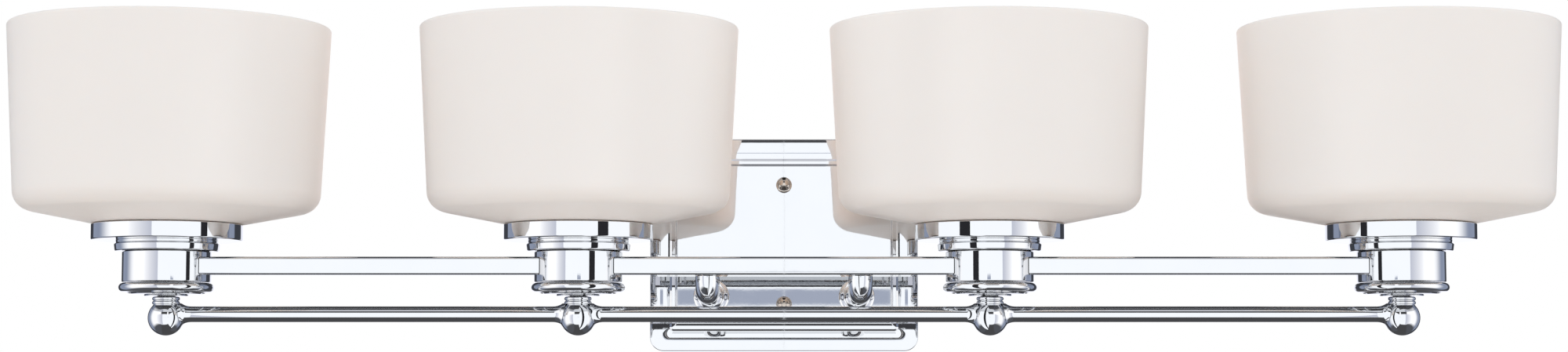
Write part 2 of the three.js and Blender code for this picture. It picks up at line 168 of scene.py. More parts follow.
def thickened(path, wall, ends=0.0, sharpest=0.15):
    """A thin wall: the path of (x, y, radius) corners, and back along its copy moved left by the wall. The
    corners at the wall's two ends get a radius of their own."""
    moved = []
    for i, corner in enumerate(path):
        here = Vector(corner[:2])
        before = here - Vector(path[max(i - 1, 0)][:2])
        after = Vector(path[min(i + 1, len(path) - 1)][:2]) - here
        along = (before.normalized() + after.normalized()).normalized()
        side = Vector((-along.y, along.x))
        if i in (0, len(path) - 1):
            place = here + side * wall
            moved.append((place.x, place.y, ends))
            continue
        place = here + side * wall / side.dot(Vector((-before.y, before.x)).normalized())
        radius = 0
        if len(corner) > 2:
            turns_left = before.x * after.y - before.y * after.x > 0
            radius = corner[2] - wall if turns_left else corner[2] + wall
        moved.append((place.x, place.y, max(radius, sharpest)))
    return [(*path[0][:2], ends), *path[1:-1], (*path[-1][:2], ends), *moved[::-1]]


def ridged(radius, depth, low, high, pitch):
    """The side of a thread, from one height to another, as a row of rounded ridges."""
    count = max(1, round(abs(high - low) / pitch))
    steps = 4 * count
    points = []
    for i in range(steps + 1):
        groove = 0.5 + 0.5 * math.cos(2 * math.pi * count * i / steps)
        points.append((radius - depth * groove, low + (high - low) * i / steps))
    return points


def rounded_rectangle(half_width, half_height, corner, steps=8):
    """Ring of points, anticlockwise from the right-hand side."""
    ring = []
    for sign_x, sign_z, start in ((1, 1, 0), (-1, 1, 90), (-1, -1, 180), (1, -1, 270)):
        centre = (sign_x * (half_width - corner), sign_z * (half_height - corner))
        ring += arc(centre, corner, start, start + 90, steps)
    return ring


# ------------------------------------------------------------------ meshes

def make_mesh(name, points, faces, sharp=38):
    """A closed mesh from points in millimetres, facing outwards, smooth but for its real edges."""
    mesh = bpy.data.meshes.new(name)
    mesh.from_pydata([tuple(c * MM for c in p) for p in points], [], faces)
    work = bmesh.new()
    work.from_mesh(mesh)
    bmesh.ops.remove_doubles(work, verts=work.verts, dist=1e-7)
    bmesh.ops.recalc_face_normals(work, faces=work.faces)
    work.to_mesh(mesh)
    work.free()
    mesh.shade_smooth()
    mesh.set_sharp_from_angle(angle=math.radians(sharp))
    return mesh


def revolved(name, outline, sides=FINE, axes=UP, lobes=None):
    """A turned mesh from a closed outline of (radius, height). lobes(radius, angle) may change a radius."""
    across, over, along = axes
    points = []
    rows = []
    for radius, height in outline:
        row = []
        for k in range(sides if radius > 1e-6 else 1):
            angle = 2 * math.pi * k / sides
            r = lobes(radius, angle) if lobes else radius
            row.append(len(points))
            points.append(across * r * math.cos(angle) + over * r * math.sin(angle) + along * height)
        rows.append(row * sides if len(row) == 1 else row)
    faces = []
    for low, high in zip(rows, rows[1:] + rows[:1]):
        for k in range(sides):
            ring = [low[k], low[(k + 1) % sides], high[(k + 1) % sides], high[k]]
            ring = [v for i, v in enumerate(ring) if v not in ring[:i]]
            if len(ring) > 2:
                faces.append(ring)
    return make_mesh(name, points, faces)


def lofted(name, rings, closed=False, sharp=38):
    """A mesh through rings of equal length: capped at both ends, or closed from the last to the first."""
    count = len(rings[0])
    points = [p for ring in rings for p in ring]
    faces = []
    pairs = list(zip(range(len(rings)), range(1, len(rings))))
    if closed:
        pairs.append((len(rings) - 1, 0))
    for low, high in pairs:
        for k in range(count):
            n = (k + 1) % count
            faces.append([low * count + k, low * count + n, high * count + n, high * count + k])
    if not closed:
        faces.append(list(range(count))[::-1])
        faces.append([(len(rings) - 1) * count + k for k in range(count)])
    return make_mesh(name, points, faces, sharp)


def swept(name, route, radii, sides=SMALL, sharp=38):
    """A round bar along a route of points in millimetres, with a radius for each."""
    rings = []
    side = Vector((1, 0.01, 0.02))
    angles = [2 * math.pi * k / sides for k in range(sides)]
    for i, here in enumerate(route):
        ahead = next((p for p in route[i + 1:] if (p - here).length > 1e-6), here)
        behind = next((p for p in route[:i][::-1] if (p - here).length > 1e-6), here)
        along = ((ahead - here).normalized() + (here - behind).normalized()).normalized()
        side = (side - along * side.dot(along)).normalized()
        over = along.cross(side)
        rings.append([here + radii[i] * (side * math.cos(a) + over * math.sin(a)) for a in angles])
    return lofted(name, rings, sharp=sharp)


def eased(corners, easing, steps=12):
    """Route through corners, each inner one an arc that begins at the easing length before it."""
    route = [corners[0]]
    for before, corner, after in zip(corners, corners[1:], corners[2:]):
        back = (before - corner).normalized()
        ahead = (after - corner).normalized()
        half = back.angle(ahead) / 2
        centre = corner + (back + ahead).normalized() * easing / math.cos(half)
        start = corner + back * easing - centre
        forward = -back * start.length
        for k in range(steps + 1):
            angle = (math.pi - 2 * half) * k / steps
            route.append(centre + start * math.cos(angle) + forward * math.sin(angle))
    return route + [corners[-1]]


def placed(name, data, place=Vector((0, 0, 0))):
    """A new object in the scene."""
    thing = bpy.data.objects.new(name, data)
    thing.location = place
    bpy.context.scene.collection.objects.link(thing)
    return thing


def stand_in(node, mesh, material, place=Vector((0, 0, 0))):
    """Shows a mesh in place of a CAD node, riding on that node's body."""
    piece = placed(f"{node}_look", mesh, place)
    piece.modifiers.new("normals", "WEIGHTED_NORMAL").keep_sharp = True
    if not mesh.materials:
        mesh.materials.append(material)
    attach(piece, frame["nodes"][node]["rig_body"])
    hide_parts(node)


# ------------------------------------------------------------------ shader node helpers

class Nodes:
    """Short ways to add nodes to a shader tree."""

    def __init__(self, tree, coordinates="Object"):
        self.nodes = tree.nodes
        self.links = tree.links
        self.place = self.nodes.new("ShaderNodeTexCoord").outputs[coordinates]

    def feed(self, socket, value):
        if isinstance(value, bpy.types.NodeSocket):
            self.links.new(value, socket)
        elif isinstance(value, tuple) and len(value) == 3 and len(socket.default_value) == 4:
            socket.default_value = (*value, 1)
        else:
            socket.default_value = value

    def noise(self, scale, detail=2.0, roughness=0.5, stretch=(1, 1, 1)):
        mapping = self.nodes.new("ShaderNodeMapping")
        self.links.new(self.place, mapping.inputs["Vector"])
        mapping.inputs["Scale"].default_value = stretch
        texture = self.nodes.new("ShaderNodeTexNoise")
        self.links.new(mapping.outputs[0], texture.inputs["Vector"])
        texture.inputs["Scale"].default_value = scale
        texture.inputs["Detail"].default_value = detail
        texture.inputs["Roughness"].default_value = roughness
        return texture.outputs["Fac"]

    def cells(self, scale):
        texture = self.nodes.new("ShaderNodeTexVoronoi")
        self.links.new(self.place, texture.inputs["Vector"])
        texture.inputs["Scale"].default_value = scale
        return texture.outputs["Color"]

    def ranged(self, value, low, high, to_low=0.0, to_high=1.0, smooth=False):
        """The value stretched from one range to another, and held at both ends."""
        node = self.nodes.new("ShaderNodeMapRange")
        if smooth:
            node.interpolation_type = "SMOOTHSTEP"
        self.feed(node.inputs["Value"], value)
        node.inputs["From Min"].default_value = low
        node.inputs["From Max"].default_value = high
        node.inputs["To Min"].default_value = to_low
        node.inputs["To Max"].default_value = to_high
        return node.outputs[0]

    def mix(self, amount, first, second):
        node = self.nodes.new("ShaderNodeMix")
        node.data_type = "RGBA"
        self.feed(node.inputs["Factor"], amount)
        self.feed(node.inputs[6], first)
        self.feed(node.inputs[7], second)
        return node.outputs[2]

    def maths(self, operation, first, second=0.0):
        node = self.nodes.new("ShaderNodeMath")
        node.operation = operation
        self.feed(node.inputs[0], first)
        self.feed(node.inputs[1], second)
        return node.outputs[0]

    def within(self, value, low, high, soft):
        """1 from low to high, falling to 0 over the soft distance outside them."""
        up = self.ranged(value, low - soft, low, smooth=True)
        down = self.ranged(value, high, high + soft, 1, 0, smooth=True)
        return self.maths("MULTIPLY", up, down)

    def axis(self, index):
        split = self.nodes.new("ShaderNodeSeparateXYZ")
        self.links.new(self.place, split.inputs[0])
        return split.outputs[index]


class Surface(Nodes):
    """A Principled material. Its textures are in the object's own coordinates."""

    def __init__(self, name, **values):
        self.material = bpy.data.materials.new(name)
        self.material.use_nodes = True
        super().__init__(self.material.node_tree)
        self.shader = self.nodes["Principled BSDF"]
        for socket, value in values.items():
            self.shader.inputs[socket.replace("_", " ")].default_value = value

    def bump(self, height, distance, strength=1.0):
        """Adds a layer of relief, distance in metres, over any that is already there."""
        node = self.nodes.new("ShaderNodeBump")
        node.inputs["Strength"].default_value = strength
        node.inputs["Distance"].default_value = distance
        self.links.new(height, node.inputs["Height"])
        normal = self.shader.inputs["Normal"]
        if normal.is_linked:
            self.links.new(normal.links[0].from_socket, node.inputs["Normal"])
        self.links.new(node.outputs[0], normal)

    def colour(self, value):
        self.feed(self.shader.inputs["Base Color"], value)

    def roughness(self, value):
        self.feed(self.shader.inputs["Roughness"], value)


# ------------------------------------------------------------------ materials

def polished(name, light, dark):
    """Mirror plating with faint buffing haze and the slight waviness of plated brass."""
    s = Surface(name, Metallic=1.0)
    s.colour(s.mix(s.noise(55, 3), light, dark))
    haze = s.ranged(s.noise(420, 4, 0.6), 0.35, 0.75)
    smear = s.ranged(s.noise(38, 3), 0.5, 0.8)
    s.roughness(s.ranged(s.maths("ADD", s.maths("MULTIPLY", haze, 0.5), smear), 0, 1.5, 0.012, 0.05))
    s.bump(s.noise(46, 1.0), 0.00012, 0.08)
    s.bump(s.noise(900, 3, 0.6), 0.000004, 0.2)
    return s.material


def opal_glass(foot_low=0.022, foot_high=0.046, painted_foot_shade=0.85):
    """Satin white cased glass: milky and even, with painted warm shade towards the fitter, below heights in
    metres.
    """
    s = Surface("opal_glass", IOR=1.5, Subsurface_Weight=0.22, Subsurface_Radius=(0.016, 0.013, 0.011),
                Subsurface_Scale=0.35, Specular_IOR_Level=0.32)
    body = s.mix(s.noise(22, 3, 0.45), (0.868, 0.836, 0.814), (0.848, 0.816, 0.795))
    # Painted shade: the colour turns darker and warmer towards the fitter, in place of the dimmer, warm light
    # that reaches the glass from below.
    foot = s.ranged(s.axis(2), foot_low, foot_high, 1, 0, smooth=True)
    s.colour(s.mix(s.maths("MULTIPLY", foot, painted_foot_shade), body, (0.855, 0.775, 0.72)))
    s.roughness(s.ranged(s.noise(240, 4, 0.6), 0.3, 0.7, 0.36, 0.5))
    s.bump(s.noise(1500, 2), 0.00001, 0.35)
    s.bump(s.noise(18, 1.5), 0.0004, 0.12)
    return s.material


def porcelain():
    """Off-white glaze with a few darker specks."""
    s = Surface("glazed_porcelain", IOR=1.5, Coat_Weight=0.6, Coat_Roughness=0.08)
    speck = s.ranged(s.noise(1300, 2), 0.7, 0.76)
    glaze = s.mix(s.noise(70, 3), (0.86, 0.85, 0.82), (0.8, 0.785, 0.75))
    s.colour(s.mix(speck, glaze, (0.5, 0.45, 0.38)))
    s.roughness(s.ranged(s.noise(160, 3), 0.3, 0.7, 0.22, 0.42))
    s.bump(s.noise(320, 3), 0.00004, 0.4)
    return s.material


def frosted_bulb():
    """White etched glass with a fine grain."""
    s = Surface("frosted_bulb_glass", IOR=1.5, Subsurface_Weight=0.15, Subsurface_Radius=(0.01, 0.01, 0.009),
                Subsurface_Scale=0.3)
    s.colour(s.mix(s.noise(60, 3), (0.92, 0.915, 0.89), (0.87, 0.86, 0.83)))
    s.roughness(s.ranged(s.noise(500, 3), 0.3, 0.7, 0.32, 0.48))
    s.bump(s.noise(2400, 2), 0.000008, 0.4)
    return s.material


def metal(name, light, dark, rough, grain, stretch=(1, 1, 1), anisotropic=0.0, spangle=0):
    """Bare or plated metal with blotches, fine marks and a grain that may run one way. A spangle scale gives
    the crystals of a zinc coat in place of the blotches."""
    s = Surface(name, Metallic=1.0, Anisotropic=anisotropic)
    if spangle:
        patches = s.ranged(s.cells(spangle), 0.2, 0.8, 0.0, 0.55)
    else:
        patches = s.ranged(s.noise(120, 4, 0.6), 0.3, 0.7)
    s.colour(s.mix(patches, light, dark))
    s.roughness(s.ranged(s.noise(grain, 4, 0.65, stretch), 0.25, 0.75, rough * 0.75, rough * 1.35))
    s.bump(s.noise(grain * 2, 3, 0.6, stretch), 0.00002, 0.4)
    return s.material


def wire_sleeve():
    """Black sleeve with a fine rough grain."""
    s = Surface("wire_sleeve", Specular_IOR_Level=0.4)
    s.colour(s.mix(s.noise(300, 3), (0.018, 0.018, 0.019), (0.032, 0.032, 0.033)))
    s.roughness(s.ranged(s.noise(700, 3), 0.3, 0.7, 0.42, 0.62))
    s.bump(s.noise(1600, 2), 0.00004, 0.5)
    return s.material


CHROME = polished("polished_chrome", (0.705, 0.71, 0.72), (0.675, 0.685, 0.70))
# The cap nuts' chrome is tinted warm brown: a painted reflection of the warm opal shades.
CHROME_PAINTED_WARM_REFLECTION = polished("chrome_painted_warm_reflection", (0.56, 0.50, 0.44), (0.50, 0.44, 0.385))
OPAL = opal_glass()
PORCELAIN = porcelain()
BULB = frosted_bulb()
SLEEVE = wire_sleeve()
ZINC = metal("zinc_plated_steel", (0.63, 0.65, 0.66), (0.47, 0.47, 0.45), 0.33, 500, spangle=260)
BRASS = metal("nickelled_brass_cap", (0.78, 0.62, 0.36), (0.62, 0.46, 0.24), 0.28, 420)
ALUMINIUM = metal("spun_aluminium", (0.82, 0.83, 0.84), (0.7, 0.71, 0.73), 0.3, 160, (1, 1, 9), 0.5)
GREEN = metal("green_passivated_steel", (0.12, 0.5, 0.24), (0.06, 0.34, 0.15), 0.36, 480)
COPPER = metal("stranded_copper", (0.85, 0.5, 0.3), (0.6, 0.3, 0.16), 0.32, 900, (6, 1, 6))


# ------------------------------------------------------------------ one lamp, from the shade down

def shade_mesh():
    """Tapered drum with a rounded foot, a shallow cone below it and a fire-polished rim."""
    outside = [(21.2, 19.9), (83.6, 32.2, 11), (88.9, 133.8)]
    return revolved("glass_shade", filleted(thickened(outside, GLASS, ends=1.6), 10), 192)


def shade_ring_mesh(lobe_count=14, lobe_depth=0.9, flange=25):
    """Spun ring that clamps the shade, its flange scalloped for the fingers."""
    def scallop(radius, angle):
        if radius < flange:
            return radius
        return radius - lobe_depth * max(0, math.cos(lobe_count * angle)) ** 3

    outline = filleted([
        (19.6, 25.3, 0.3), (28, 25.3, 0.6), (28, 27.3, 0.6), (24.2, 27.6, 0.8), (23, 29, 0.8), (23, 33, 0.5),
        (19.6, 33, 0.4),
    ], 3)
    return revolved("shade_ring", outline, 168, lobes=scallop)


def shade_holder_mesh():
    """Flat-bottomed dish with an upright band, on a shorter tier."""
    outside = [
        (19.6, 8.4), (28.4, 8.4, 0.9), (28.9, 12.2, 0.5), (27.9, 13, 0.35), (27.9, 14.5, 0.35),
        (41.5, 14.5, 0.9), (41.5, 23.3),
    ]
    return revolved("shade_holder", filleted(thickened(outside, SHEET_METAL, ends=0.4), 5))


def lampholder_mesh():
    """Porcelain body with a screw thread outside for the ring, and a well for the bulb's cap."""
    thread = ridged(19, 0.8, 24.5, 43.5, 2.7)
    outline = [
        (0, 11.5), (STUD_HOLE, 11.5), (STUD_HOLE, 5.4), (5.7, 5), (18.4, 5), (19, 5.6), (19, 23.6), *thread,
        (18.2, 44.6), (17.6, 45), (14.8, 45), (14.2, 44.4), (14.2, 17), (0, 17),
    ]
    return revolved("lampholder", outline, 72)


def cup_mesh():
    """Straight-sided cup with a hole in its floor."""
    outside = [(STUD_HOLE, CUP_FOOT), (CUP_RADIUS, CUP_FOOT, 0.7), (CUP_RADIUS, 8.1)]
    return revolved("socket_cup", filleted(thickened(outside, SHEET_METAL, ends=0.45), 5))


def cup_base_mesh(foot=-16.4):
    """Half-round bead over a shallow stepped dish."""
    top = CUP_FOOT - GAP
    bead = arc((23.55, -11.6), 2.5, 88, -88, 14)
    dish = filleted([
        (22.3, -14.5, 0.3), (19.6, -14.55, 0.5), (18.9, -15.2, 0.5), (12.3, -15.7, 0.5), (11.5, foot, 0.4),
    ])
    outline = [(STUD_HOLE, top), (22.4, top), *bead, (22.6, -14.2), *dish, (STUD_HOLE, foot)]
    return revolved("cup_base", outline)


def finial_mesh(top=-16.7, hole_end=-26.8, bead=1.12):
    """Two beads over a ball, with a hole for the stud."""
    beads = arc((6.55, -17.8), bead, 84, -70, 8) + arc((6.55, -20.05), bead, 70, -70, 8)
    ball = arc((0, BALL_LEVEL), BALL_RADIUS, 45.4, -90, 40)
    return revolved("finial_ball", [
        (0, hole_end), (STUD_HOLE, hole_end), (STUD_HOLE, top), (6.4, top), *beads, *ball[1:-1],
        (0, BALL_LEVEL - BALL_RADIUS),
    ])


def stud_mesh(foot=-26.5, top=11.2):
    """Threaded rod with chamfered ends."""
    thread = ridged(4.9, 0.5, foot + 0.7, top - 0.7, 1.3)
    return revolved("lamp_stud", [(0, foot), (4.1, foot), *thread, (4.1, top), (0, top)])


def bulb_cap_mesh():
    """Screw cap: centre contact, insulator and rolled thread."""
    contact = [(0, 17.4), (3.6, 17.4), (4.5, 18.1), (4.6, 19)]
    thread = ridged(13.2, 0.9, 24.2, 40.6, 3.6)
    outline = [*contact, (8.6, 20.6), (12.2, 23.4), *thread, (13, 41.6), (13, 44), (0, 44)]
    return revolved("bulb_cap", outline, MEDIUM)


def bulb_glass_mesh(wall=1.5, top=117.0):
    """Slim tube with a domed end, hollow and open only towards its cap."""
    path = filleted([(13.2, 44.3), (13.6, 50, 9), (15.9, 62, 24), (15.9, 103, 15.2), (0, top)], 12)
    outline = [corner[:2] for corner in thickened(path, wall)]
    outline[len(path)] = (0, top - wall)
    return revolved("bulb_glass", outline, MEDIUM)


def make_lamps():
    pieces = (
        ("glass_shade", shade_mesh(), OPAL),
        ("shade_ring", shade_ring_mesh(), ALUMINIUM),
        ("shade_holder", shade_holder_mesh(), CHROME),
        ("lampholder", lampholder_mesh(), PORCELAIN),
        ("socket_cup", cup_mesh(), CHROME),
        ("cup_base", cup_base_mesh(), CHROME),
        ("finial_ball", finial_mesh(), CHROME),
        ("lamp_stud", stud_mesh(), ZINC),
        ("bulb_cap", bulb_cap_mesh(), BRASS),
        ("bulb_glass", bulb_glass_mesh(), BULB),
    )
    for number in LAMPS:
        for kind, mesh, material in pieces:
            stand_in(f"{kind}_{number}", mesh, material, lamp_origin(number))


# ------------------------------------------------------------------ bars

def upper_bar_mesh(height=10, depth=27, rounding=1.5):
    """Rectangular tube, its ends coped to the cups."""
    def skin(inset):
        section = rounded_rectangle(depth / 2 - inset, height / 2 - inset, max(rounding - inset, 0.3))
        return [(y, z, PITCH / 2 - math.sqrt((CUP_RADIUS + GAP) ** 2 - y * y)) for y, z in section]

    rings = []
    for inset, order in ((0, (-1, 1)), (SHEET_METAL, (1, -1))):
        for sign in order:
            rings.append([Vector((sign * half, y, z)) for y, z, half in skin(inset)])
    return lofted("upper_bar", rings, closed=True)


def lower_bar_mesh(radius=4.35, flare=6.4, flare_start=8.2, flare_length=6.5, sharpness=2.6, ball_drop=1.5,
                   steps=12):
    """Round rod that swells where it meets the balls, its ends coped to them, a little above their middle."""
    reach = PITCH / 2

    def section(r, x, at_end):
        ring = []
        for k in range(MEDIUM):
            angle = 2 * math.pi * k / MEDIUM
            y = r * math.cos(angle)
            z = r * math.sin(angle)
            end = reach - math.sqrt((BALL_RADIUS + GAP) ** 2 - y * y - (z + ball_drop) ** 2)
            ring.append((end if at_end else min(x, end - 0.02), y, z))
        return ring

    half = []
    for i in range(steps + 1):
        t = i / steps
        swell = (flare - radius) * (1 - t) ** sharpness
        half.append(section(radius + swell, reach - flare_start - flare_length * t, i == 0))
    right = [[Vector(p) for p in ring] for ring in half]
    left = [[Vector((-x, y, z)) for x, y, z in ring] for ring in half]
    return lofted("lower_bar", right + left[::-1])


def make_bars():
    upper = upper_bar_mesh()
    lower = lower_bar_mesh()
    for side in SIDES:
        stand_in(f"upper_bar_{side}", upper, CHROME, middle(f"upper_bar_{side}"))
        stand_in(f"lower_bar_{side}", lower, CHROME, middle(f"lower_bar_{side}"))


# ------------------------------------------------------------------ canopy and wall fixing

def backplate_mesh(half_width=78.6, half_height=62.2, corner=8, depth=25, rise=3, step_foot=11.6,
                   step_top=15.7, crown=0.55, edge_roll=2.4, panel_corner=2.4, border_steps=12):
    """Pressed pan with a rolled edge, a slightly crowned border and a raised panel, open towards the wall.
    The step up to the panel has a low slope, a ledge and a steep riser. The outline is (inset, y)."""
    front = -depth - rise
    border = []
    for i in range(1, border_steps):
        t = i / border_steps
        border.append((step_foot * (1 - t), -depth - crown * math.sin(math.pi * t)))
    outside = [
        (step_top + 6, front), (step_top, front, 0.8), (step_top - 0.8, -depth - 0.75, 0.5),
        (step_foot + 1.2, -depth - 0.6, 0.5), (step_foot, -depth, 0.5), *border,
        (0, -depth, edge_roll), (0, 0),
    ]
    skin = filleted(thickened(outside, -SHEET_METAL), 8)

    def ring(inset, y):
        on_panel = min(max((inset - edge_roll) / (step_foot - edge_roll), 0), 1)
        turn = (corner - min(inset, edge_roll)) * (1 - on_panel) + panel_corner * on_panel
        turn = max(turn - max(inset - step_foot, 0), 0.5)
        outline = rounded_rectangle(half_width - inset, half_height - inset, turn, 10)
        return [Vector((x, y, z)) for x, z in outline]

    return lofted("backplate", [ring(inset, y) for inset, y in skin])


def strap_mesh(width=22, length=112, thickness=2, corner=3, slot_spacing=88.9, slot_length=10, slot_width=5.2,
               stud_hole=2.55, ground_hole=2.45, hole_sides=24, rounding=0.25):
    """Flat steel strap with two slots, a hole for each stud and one for the ground screw."""
    flat = bpy.data.curves.new("strap", "CURVE")
    flat.dimensions = "2D"
    flat.fill_mode = "BOTH"
    flat.extrude = (thickness / 2 - rounding) * MM
    flat.bevel_depth = rounding * MM
    flat.bevel_resolution = 2

    def loop(points):
        spline = flat.splines.new("POLY")
        spline.use_cyclic_u = True
        spline.points.add(len(points) - 1)
        for point, (x, z) in zip(spline.points, points):
            point.co = (x * MM, z * MM, 0, 1)

    def hole(height, radius):
        loop(arc((0, height), radius, 360, 360 / hole_sides, hole_sides - 1))

    loop(rounded_rectangle(width / 2 - rounding, length / 2 - rounding, corner))
    half = slot_width / 2 + rounding
    slot = rounded_rectangle(half, slot_length / 2 + rounding, half - 0.01)
    for side in (-1, 1):
        loop([(x, z + side * slot_spacing / 2) for x, z in slot][::-1])
        hole(side * STUD_HEIGHT, stud_hole)
    hole(GROUND_HEIGHT, ground_hole)
    carrier = bpy.data.objects.new("strap", flat)
    mesh = bpy.data.meshes.new_from_object(carrier)
    bpy.data.objects.remove(carrier)
    for vertex in mesh.vertices:
        x, z, y = vertex.co
        vertex.co = (x, -y, z)
    mesh.flip_normals()
    mesh.shade_smooth()
    mesh.set_sharp_from_angle(angle=math.radians(50))
    return mesh


def cap_nut_mesh(seat=28.3, ball_radius=4.1, ball_level=37.2, neck=3.1, bore=2.5, bore_end=35.8):
    """Ball-ended nut on a short collar, turned by hand."""
    neck_angle = math.degrees(math.acos(neck / ball_radius))
    ball = arc((0, ball_level), ball_radius, -neck_angle, 90, 24)
    collar = filleted([(bore, seat), (4.6, seat, 0.3), (4.6, seat + 1.5, 0.5), (neck, seat + 1.9, 0.5)], 4)
    outline = [
        (0, bore_end), (bore, bore_end), *collar, (neck - 0.05, seat + 3), *ball[1:-1],
        (0, ball_level + ball_radius),
    ]
    return revolved("cap_nut", outline, MEDIUM, FRONT)


def canopy_stud_mesh(back=0.3, front=35.5):
    """Threaded rod from the strap to its cap nut."""
    thread = ridged(2, 0.28, back + 0.4, front - 0.5, 0.8)
    return revolved("canopy_stud", [(0, back), (1.6, back), *thread, (1.6, front), (0, front)], SMALL, FRONT)


def ground_screw_mesh(seat=2.3):
    """Washer-head screw with a domed top."""
    thread = ridged(1.9, 0.25, 0.6, 2, 0.7)
    shoulder = seat + 1.3
    dome = [point for point in arc((0, seat - 2.2), 4.6, 58, 90, 8)[:-1] if point[1] > shoulder]
    outline = [
        (0, 0.4), (1.6, 0.4), *thread, (1.9, seat), (3.7, seat), (4, seat + 0.3), (4, seat + 0.9),
        (3.6, seat + 1.2), (2.6, shoulder), *dome, (0, seat + 2.4),
    ]
    return revolved("ground_screw", outline, SMALL, FRONT)


def arm_mesh(top=-5.3, tail_radius=5.6, tail_end=-17.5):
    """Elbow arm: threaded tail, round shoulder on the canopy, then forward and up to the bar."""
    def at(y, z=ARM_LEVEL):
        return Vector((0, y, z))

    tail = ridged(tail_radius, 0.45, tail_end, PANEL_FACE + 0.05, 1.3)
    shoulder = [
        (tail_radius, 0), (9.9, 0), (10.4, 0.35), (10.5, 1.0), (10.2, 1.6), (9.3, 2.1), (8.2, 2.5),
        (7.3, 2.8), (6.85, 3.3),
    ]
    easing = top - ARM_LEVEL - 0.8
    bend = eased([at(PANEL_FACE - 4), at(BAR_Y), at(BAR_Y, top)], easing, 24)
    route = [at(y) for _, y in tail] + [at(PANEL_FACE - out) for _, out in shoulder] + bend
    radii = [r for r, _ in tail] + [r for r, _ in shoulder] + [ARM_RADIUS] * len(bend)
    return swept("support_arm", route, radii, MEDIUM)


def arm_nut_mesh(across=17, thickness=4, chamfer=0.9, bore=5.9):
    """Thin hexagon nut with chamfered corners."""
    seat = -PANEL_FACE - GAP - SHEET_METAL - GAP
    back = seat - thickness
    corner = across / 2 / math.cos(math.pi / 6)

    def hexagon(radius, angle):
        if radius == bore:
            return radius
        return min(radius, across / 2 / math.cos((angle + math.pi / 6) % (math.pi / 3) - math.pi / 6))

    outline = [
        (bore, seat), (corner - chamfer, seat), (corner, seat - 0.6), (corner, back + 0.6),
        (corner - chamfer, back), (bore, back),
    ]
    return revolved("arm_nut", outline, MEDIUM, FRONT, hexagon)


def lead_route(side):
    """The sleeve's way from the canopy through the arm and the bars to the outer lampholder."""
    arm_x = middle(f"arm_nut_{'left' if side < 0 else 'right'}").x / MM
    bar_level = BAR.z / MM
    level = bar_level - 0.5
    arm_level = bar_level + ARM_LEVEL
    past_studs = BAR_Y + 8.5
    end_x = side * (abs(lamp_origin(1).x) / MM - 3)
    corners = [
        Vector((arm_x, -13, arm_level)), Vector((arm_x, BAR_Y, arm_level)), Vector((arm_x, BAR_Y, level)),
        Vector((arm_x + side * 10, BAR_Y, level)), Vector((arm_x + side * 28, past_studs, level)),
        Vector((end_x, past_studs, level)), Vector((end_x, past_studs, bar_level + 4.7)),
    ]
    return eased(corners, 4, 8)


def make_conductor(name, start, material, length, radius, sides):
    """A straight length of wire or insulation inside the canopy."""
    mesh = swept(name, [start, start + Vector((0, length, 0))], [radius, radius], sides, 60)
    mesh.materials.append(material)
    piece = placed(name, mesh)
    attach(piece, "fixture")


def make_leads(sleeve_radius=2.1, spread=0.9):
    """Black sleeves, each with a pair of stripped conductors at the canopy end."""
    for label, side in (("left", -1), ("right", 1)):
        route = lead_route(side)
        sleeve = swept(f"lead_{label}", route, [sleeve_radius] * len(route), 20, 60)
        stand_in(f"lead_wire_{label}", sleeve, SLEEVE)
        for offset, tone, insulation in ((-spread, "hot", SLEEVE), (spread, "neutral", PORCELAIN)):
            start = route[0] + Vector((offset, -2, 0))
            make_conductor(f"conductor_{label}_{tone}", start, insulation, length=4.2, radius=0.8, sides=16)
            make_conductor(f"strands_{label}_{tone}", start, COPPER, length=5.9, radius=0.5, sides=12)


def make_canopy():
    stand_in("backplate", backplate_mesh(), CHROME)
    stand_in("mounting_strap", strap_mesh(), ZINC, middle("mounting_strap"))
    screw = middle("ground_screw")
    stand_in("ground_screw", ground_screw_mesh(), GREEN, Vector((screw.x, 0, screw.z)))
    stud = canopy_stud_mesh()
    nut = cap_nut_mesh()
    for label in ("upper", "lower"):
        axis = middle(f"canopy_stud_{label}")
        stand_in(f"canopy_stud_{label}", stud, ZINC, Vector((axis.x, 0, axis.z)))
        stand_in(f"cap_nut_{label}", nut, CHROME_PAINTED_WARM_REFLECTION, Vector((axis.x, 0, axis.z)))
    arm = arm_mesh()
    lock = arm_nut_mesh()
    for label in ("left", "right"):
        axis = middle(f"arm_nut_{label}")
        stand_in(f"support_arm_{label}", arm, CHROME, Vector((axis.x, 0, BAR.z)))
        stand_in(f"arm_nut_{label}", lock, ZINC, Vector((axis.x, 0, axis.z)))


# ------------------------------------------------------------------ camera, floor and light

def make_camera(distance=1.572, drop=0.073, lens=65.0, pitch=4.495):
    """Low in front of the light and looking slightly up, as a catalogue picture of it is taken."""
    data = bpy.data.cameras.new("camera")
    data.sensor_width = 36
    data.lens = lens
    camera = placed("camera", data, Vector((0, BAR.y - distance, BAR.z - drop)))
    camera.rotation_euler = (math.radians(90 + pitch), 0, 0)
    bpy.context.scene.camera = camera


def make_sheet(name, corners, material):
    """A flat piece of the studio."""
    mesh = bpy.data.meshes.new(name)
    mesh.from_pydata(corners, [], [(0, 1, 2, 3)])
    mesh.materials.append(material)
    sheet = placed(name, mesh)
    return sheet


def make_floor(level=-9.0, size=40.0):
    """Plain pale floor, far enough below the wall light for the light to be seen from underneath."""
    surface = Surface("pale_floor")
    surface.colour(surface.mix(surface.noise(0.8, 2), (0.86, 0.86, 0.855), (0.84, 0.84, 0.835)))
    surface.roughness(0.8)
    corners = [(-size, -size, level), (size, -size, level), (size, size, level), (-size, size, level)]
    make_sheet("floor", corners, surface.material).visible_glossy = False


